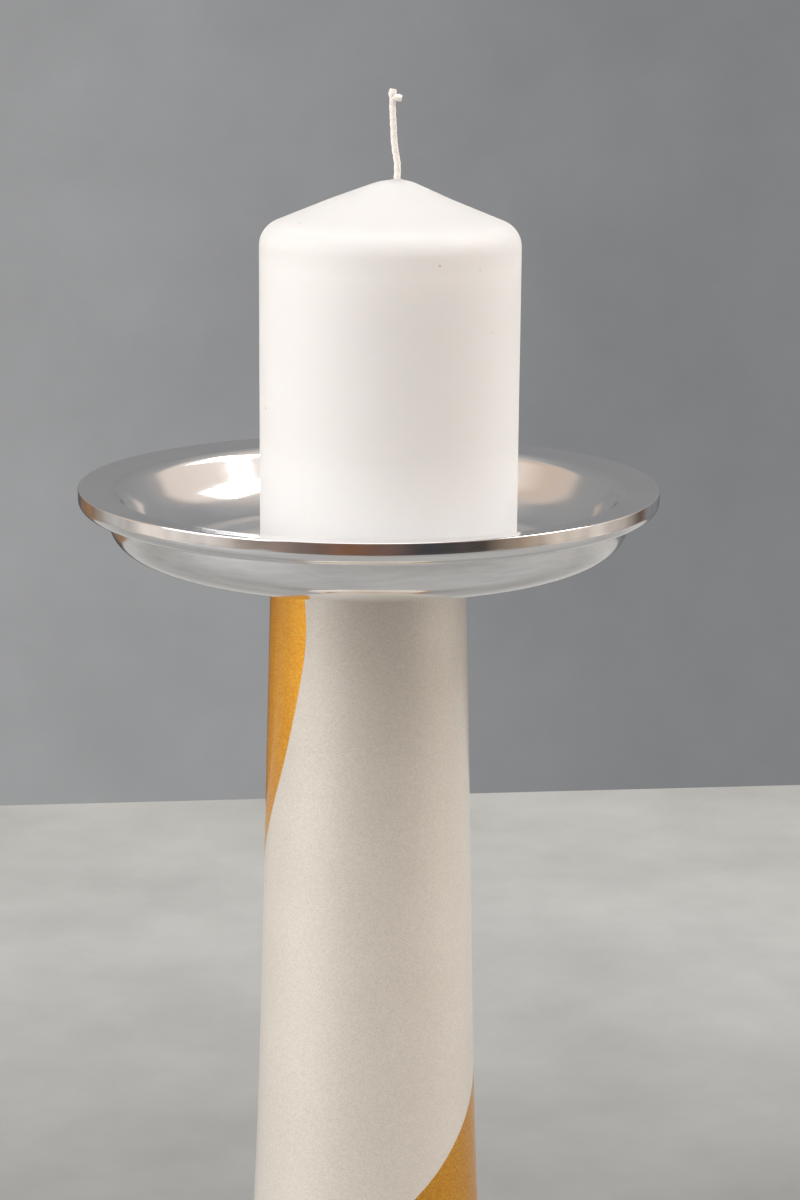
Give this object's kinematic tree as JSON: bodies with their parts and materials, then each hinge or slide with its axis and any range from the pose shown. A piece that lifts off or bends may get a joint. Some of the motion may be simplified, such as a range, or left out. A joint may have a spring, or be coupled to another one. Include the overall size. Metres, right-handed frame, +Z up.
{
  "type": "altar candlestick",
  "caption": "Altar candlestick: enamelled trumpet stem with a weighted base, a polished drip dish with a spike, and a pillar candle that lifts off.",
  "frame": {"origin": "on the table, on the axis of the stem and the dish", "axes": "+Z up along the stem; +X to the side that the candle stands nearer to"},
  "size_m": [0.153, 0.153, 0.4127],
  "materials": {
    "polished_aluminium": "mirror polished",
    "enamel": "glossy metallic enamel, champagne cream with amber gold fields",
    "zinc_steel": "zinc plated",
    "bright_steel": "turned bright",
    "black_steel": "black powder coat",
    "cast_iron": "as cast",
    "rubber": "moulded",
    "wax": "matt paraffin wax",
    "wick_cotton": "braided cotton"
  },
  "bodies": {
    "root": {"drip_dish": "polished_aluminium", "stem_shell": "enamel", "stem_top_plug": "zinc_steel", "dish_gasket": "rubber", "pricket_spike": "bright_steel", "centre_rod": "zinc_steel", "rod_lock_nut": "zinc_steel", "ballast_weight": "cast_iron", "ballast_screw_1": "zinc_steel", "ballast_screw_2": "zinc_steel", "ballast_screw_3": "zinc_steel", "base_plate": "black_steel", "base_washer": "zinc_steel", "spring_washer": "zinc_steel", "base_nut": "zinc_steel", "foot_ring": "rubber"},
    "candle": {"candle_wax": "wax", "candle_wick": "wick_cotton"}
  },
  "joints": [
    {"name": "candle_lift", "type": "slide", "parent": "root", "child": "candle", "axis": [0, 0, 1], "range_m": [0, 0.08]}
  ]
}
